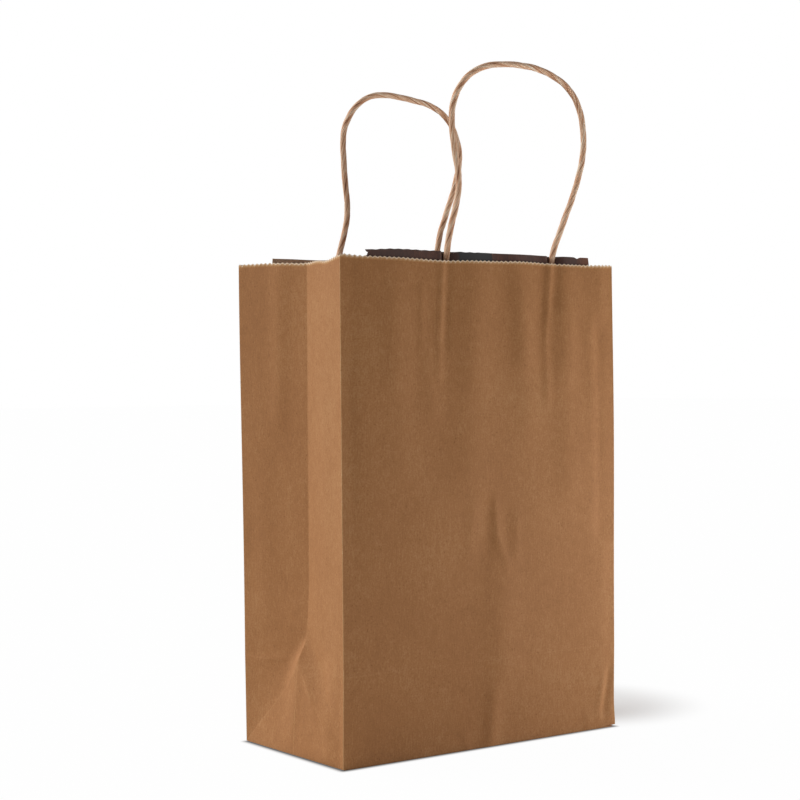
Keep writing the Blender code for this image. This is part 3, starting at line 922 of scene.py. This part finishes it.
def kraft_paper(name, stops, contrast=1.0):
    """Unbleached kraft, machine finished: matt, with upright fibre streaks, a cloudy pulp and stray specks.

    The folds and the torn rim show as thin paler lines: partly rubbed paper, partly painted highlight.
    """
    material, tree = empty_material(name)
    fibre, cloud, speck, blotch = paper_patterns(tree)
    wear_and_highlight = add_node(tree, "Attribute", attribute_name="wear_and_highlight").outputs["Fac"]
    dark_speck = rise_between(tree, speck, *DARK_SPECKS)
    parts = [
        (fibre, 0.30 * contrast, 0.5),
        (cloud, 0.20 * contrast, 0.5),
        (speck, 0.30 * contrast, 0.5),
        (blotch, 0.22 * contrast, 0.5),
        (dark_speck, -0.25 * contrast, 0.0),
        # paler folds and rim: rubbing and painted highlight
        (wear_and_highlight, 0.32, 0.0),
    ]
    tone = mix_tones(tree, 0.5, parts)
    height = mix_tones(tree, 0.5, [(fibre, 0.5, 0.5), (cloud, 0.5, 0.5)])
    paper_shader(tree, colour_ramp(tree, tone, stops), height, KRAFT_FINISH)
    return material


def cut_edge():
    """The knife's cut through kraft: torn fibres, paler and rougher than the faces."""
    material, tree = empty_material("cut edge of kraft paper")
    fibre, _, speck, _ = paper_patterns(tree)
    tone = mix_tones(tree, 0.5, [(fibre, 0.6, 0.5), (speck, 0.6, 0.5)])
    paper_shader(tree, colour_ramp(tree, tone, EDGE_STOPS), speck, EDGE_FINISH)
    return material


def twisted_cord():
    """Strips of kraft twisted into a cord: golden brown, creased along the twist, with painted shade in the
    grooves; the creases' tone rises with their relief, painted darker in the hollows and lighter on the
    ridges.
    """
    material, tree = empty_material("twisted kraft paper cord")
    turns = add_node(tree, "UVMap", uv_map="twist").outputs[0]
    split = add_node(tree, "SeparateXYZ", {"Vector": turns})
    lay = add_node(tree, "Math", {0: split.outputs["Y"], 1: -1 / LAY_LENGTH}, operation="MULTIPLY").outputs[0]
    round_cord = add_node(tree, "Math", {0: split.outputs["X"], 1: lay}, operation="ADD").outputs[0]
    angle = add_node(tree, "Math", {0: round_cord, 1: 2 * math.pi}, operation="MULTIPLY").outputs[0]
    cosine = add_node(tree, "Math", {0: angle}, operation="COSINE").outputs[0]
    sine = add_node(tree, "Math", {0: angle}, operation="SINE").outputs[0]
    along = add_node(tree, "Math", {0: split.outputs["Y"], 1: CREASES_ALONG}, operation="MULTIPLY").outputs[0]
    around = add_node(tree, "CombineXYZ", {"X": cosine, "Y": sine, "Z": along}).outputs[0]
    creases = {"Vector": around, "Scale": CREASES_ROUND, "Detail": 4, "Roughness": 0.65}
    crease = add_node(tree, "TexNoise", creases).outputs["Fac"]
    place = add_node(tree, "TexCoord").outputs["Object"]
    fleck = add_node(tree, "TexNoise", {"Vector": place, "Scale": SPECK, "Detail": 2}).outputs["Fac"]
    stretch = add_node(tree, "TexNoise", {"Vector": place, "Scale": STRETCH, "Detail": 2}).outputs["Fac"]
    groove = add_node(tree, "Attribute", attribute_name="groove").outputs["Fac"]
    # painted shade in the grooves between the plies
    groove_shade = add_node(tree, "Math", {0: groove, 1: 2.5}, operation="POWER").outputs[0]
    # the creases set tone and relief alike: painted shade in their hollows, painted highlight on their ridges
    parts = [(crease, 1.8, 0.5), (fleck, 0.25, 0.5), (stretch, 0.5, 0.5), (groove_shade, -0.40, 0.0)]
    tone = mix_tones(tree, 0.66, parts)
    paper_shader(tree, colour_ramp(tree, tone, CORD_STOPS), crease, CORD_FINISH)
    return material


def shade_painted_strip():
    """The front cover's outer face, dark with painted shade: uneven, nearly black in one stretch and paler
    towards its right end.
    """
    material, tree = empty_material("front cover strip in painted shade")
    fibre, cloud, _, _ = paper_patterns(tree)
    place = add_node(tree, "TexCoord").outputs["Object"]
    mottle = add_node(tree, "TexNoise", {"Vector": place, "Scale": SHADE_MOTTLE, "Detail": 2}).outputs["Fac"]
    across = add_node(tree, "SeparateXYZ", {"Vector": place}).outputs["X"]
    black = rise_between(tree, across, *BLACK_FROM, interpolation_type="SMOOTHSTEP")
    black_end = rise_between(tree, across, *BLACK_TO, interpolation_type="SMOOTHSTEP")
    paler_end = rise_between(tree, across, *PALER_FROM)
    parts = [
        (fibre, 0.5, 0.5),
        (mottle, 0.35, 0.5),
        (black, -0.40, 0.0),
        (black_end, 0.44, 0.0),
        (paler_end, 0.3, 0.0),
    ]
    tone = mix_tones(tree, 0.42, parts)
    paper_shader(tree, colour_ramp(tree, tone, SHADE_STRIP_STOPS), cloud, SHADE_STRIP_FINISH)
    return material


# The set


def add_camera():
    """Stands where a fit to the bag's corners and the folds of its left side puts it."""
    data = bpy.data.cameras.new("camera")
    data.sensor_width = SENSOR
    data.lens = CAMERA_LENS
    camera = bpy.data.objects.new("camera", data)
    turn = Matrix.Rotation(-CAMERA_YAW, 4, "Z") @ Matrix.Rotation(math.pi / 2 + CAMERA_PITCH, 4, "X")
    camera.matrix_world = Matrix.Translation(CAMERA_AT) @ turn @ Matrix.Rotation(CAMERA_ROLL, 4, "Z")
    bpy.context.scene.collection.objects.link(camera)
    bpy.context.scene.camera = camera


def seen_plainly(tree):
    """1 where the camera, a mirror or glass sees a surface, and 0 where light only bounces off it."""
    rays = add_node(tree, "LightPath").outputs
    mirrored = {0: rays["Is Camera Ray"], 1: rays["Is Glossy Ray"]}
    mirrored = add_node(tree, "Math", mirrored, operation="MAXIMUM").outputs[0]
    seen = {0: mirrored, 1: rays["Is Transmission Ray"]}
    return add_node(tree, "Math", seen, operation="MAXIMUM").outputs[0]


def add_world():
    """White all round: soft light on the bag, and a plain white backdrop behind it."""
    world = bpy.data.worlds.new("white studio")
    world.use_nodes = True
    bpy.context.scene.world = world
    tree = world.node_tree
    tree.nodes.clear()
    around = add_node(tree, "Background", {"Color": linear("FFFFFF"), "Strength": ROUND_LIGHT})
    backdrop = add_node(tree, "Background", {"Color": linear("FFFFFF"), "Strength": 1.0})
    mixed = add_node(tree, "MixShader", {0: seen_plainly(tree), 1: around.outputs[0], 2: backdrop.outputs[0]})
    add_node(tree, "OutputWorld", {"Surface": mixed.outputs[0]})


def add_floor():
    """White to the eye, and greyed by the bag's shadow most at its right, where the shadow falls."""
    bm = bmesh.new()
    bmesh.ops.create_grid(bm, x_segments=1, y_segments=1, size=FLOOR_REACH)
    bmesh.ops.translate(bm, vec=(0, 0, -FLOOR_GAP), verts=bm.verts)
    material, tree = empty_material("white studio floor")
    white = add_node(tree, "Emission", {"Color": linear("FFFFFF"), "Strength": 1.0})
    place = add_node(tree, "TexCoord").outputs["Object"]
    away = add_node(tree, "VectorMath", {0: place, 1: SHADOW_MIDDLE}, operation="DISTANCE").outputs["Value"]
    near, far = SHADOW_REACH
    share = add_node(
        tree,
        "MapRange",
        {"Value": away, "From Min": near, "From Max": far, "To Min": SHADOW_WHITE, "To Max": FLOOR_WHITE},
        interpolation_type="SMOOTHSTEP",
    ).outputs[0]
    foot = (HALF_WIDTH, HALF_DEPTH, 0)
    past = add_node(tree, "VectorMath", {0: place}, operation="ABSOLUTE").outputs[0]
    past = add_node(tree, "VectorMath", {0: past, 1: foot}, operation="SUBTRACT").outputs[0]
    past = add_node(tree, "VectorMath", {0: past, 1: (0, 0, 0)}, operation="MAXIMUM").outputs[0]
    gap = add_node(tree, "VectorMath", {0: past}, operation="LENGTH").outputs["Value"]
    contact = add_node(
        tree, "MapRange", {"Value": gap, "From Max": CONTACT_REACH, "To Min": CONTACT_WHITE, "To Max": 1.0}
    ).outputs[0]
    grey = add_node(tree, "VectorMath", {0: linear(FLOOR_GREY)[:3], "Scale": contact}, operation="SCALE")
    matt = add_node(tree, "BsdfDiffuse", {"Color": grey.outputs[0]})
    share = add_node(tree, "Math", {0: share, 1: contact}, operation="MULTIPLY").outputs[0]
    seen = add_node(tree, "Math", {0: seen_plainly(tree), 1: share}, operation="MULTIPLY").outputs[0]
    mixed = add_node(tree, "MixShader", {0: seen, 1: matt.outputs[0], 2: white.outputs[0]})
    add_node(tree, "OutputMaterial", {"Surface": mixed.outputs[0]})
    add_piece("floor", bm, [material])


def add_lights():
    """The soft key from behind on the left, and the near fill at the front right."""
    key = bpy.data.lights.new("key", "SUN")
    key.energy = KEY_LIGHT * math.pi
    key.angle = KEY_SPREAD
    sun = bpy.data.objects.new("key", key)
    sun.rotation_euler = Vector(KEY_FROM).to_track_quat("Z", "Y").to_euler()
    fill = bpy.data.lights.new("fill", "AREA")
    fill.size = FILL_SIZE
    fill.energy = FILL_POWER
    panel = bpy.data.objects.new("fill", fill)
    panel.location = FILL_AT
    panel.rotation_euler = (Vector(FILL_AT) - Vector(FILL_AIM)).to_track_quat("Z", "Y").to_euler()
    panel.visible_camera = False
    for lamp in (sun, panel):
        bpy.context.scene.collection.objects.link(lamp)


def main():
    add_camera()
    add_world()
    add_lights()
    add_floor()
    bpy.context.scene.view_settings.view_transform = "Standard"
    kraft = kraft_paper("brown kraft paper", KRAFT_STOPS)
    # the strips' paler colour is partly painted light
    pale_lit_strip = kraft_paper("paler kraft strip, partly painted light", PALE_LIT_STRIP_STOPS, contrast=0.8)
    edge = cut_edge()
    # the front cover's dark outer face is painted shade
    shade_strip = shade_painted_strip()
    cord = twisted_cord()
    build_bag(kraft, edge)
    for handle in (FRONT, REAR):
        build_cord(handle, cord)
        build_backing(handle, pale_lit_strip)
        build_cover(handle, shade_strip if handle is FRONT else pale_lit_strip, pale_lit_strip, edge)


main()
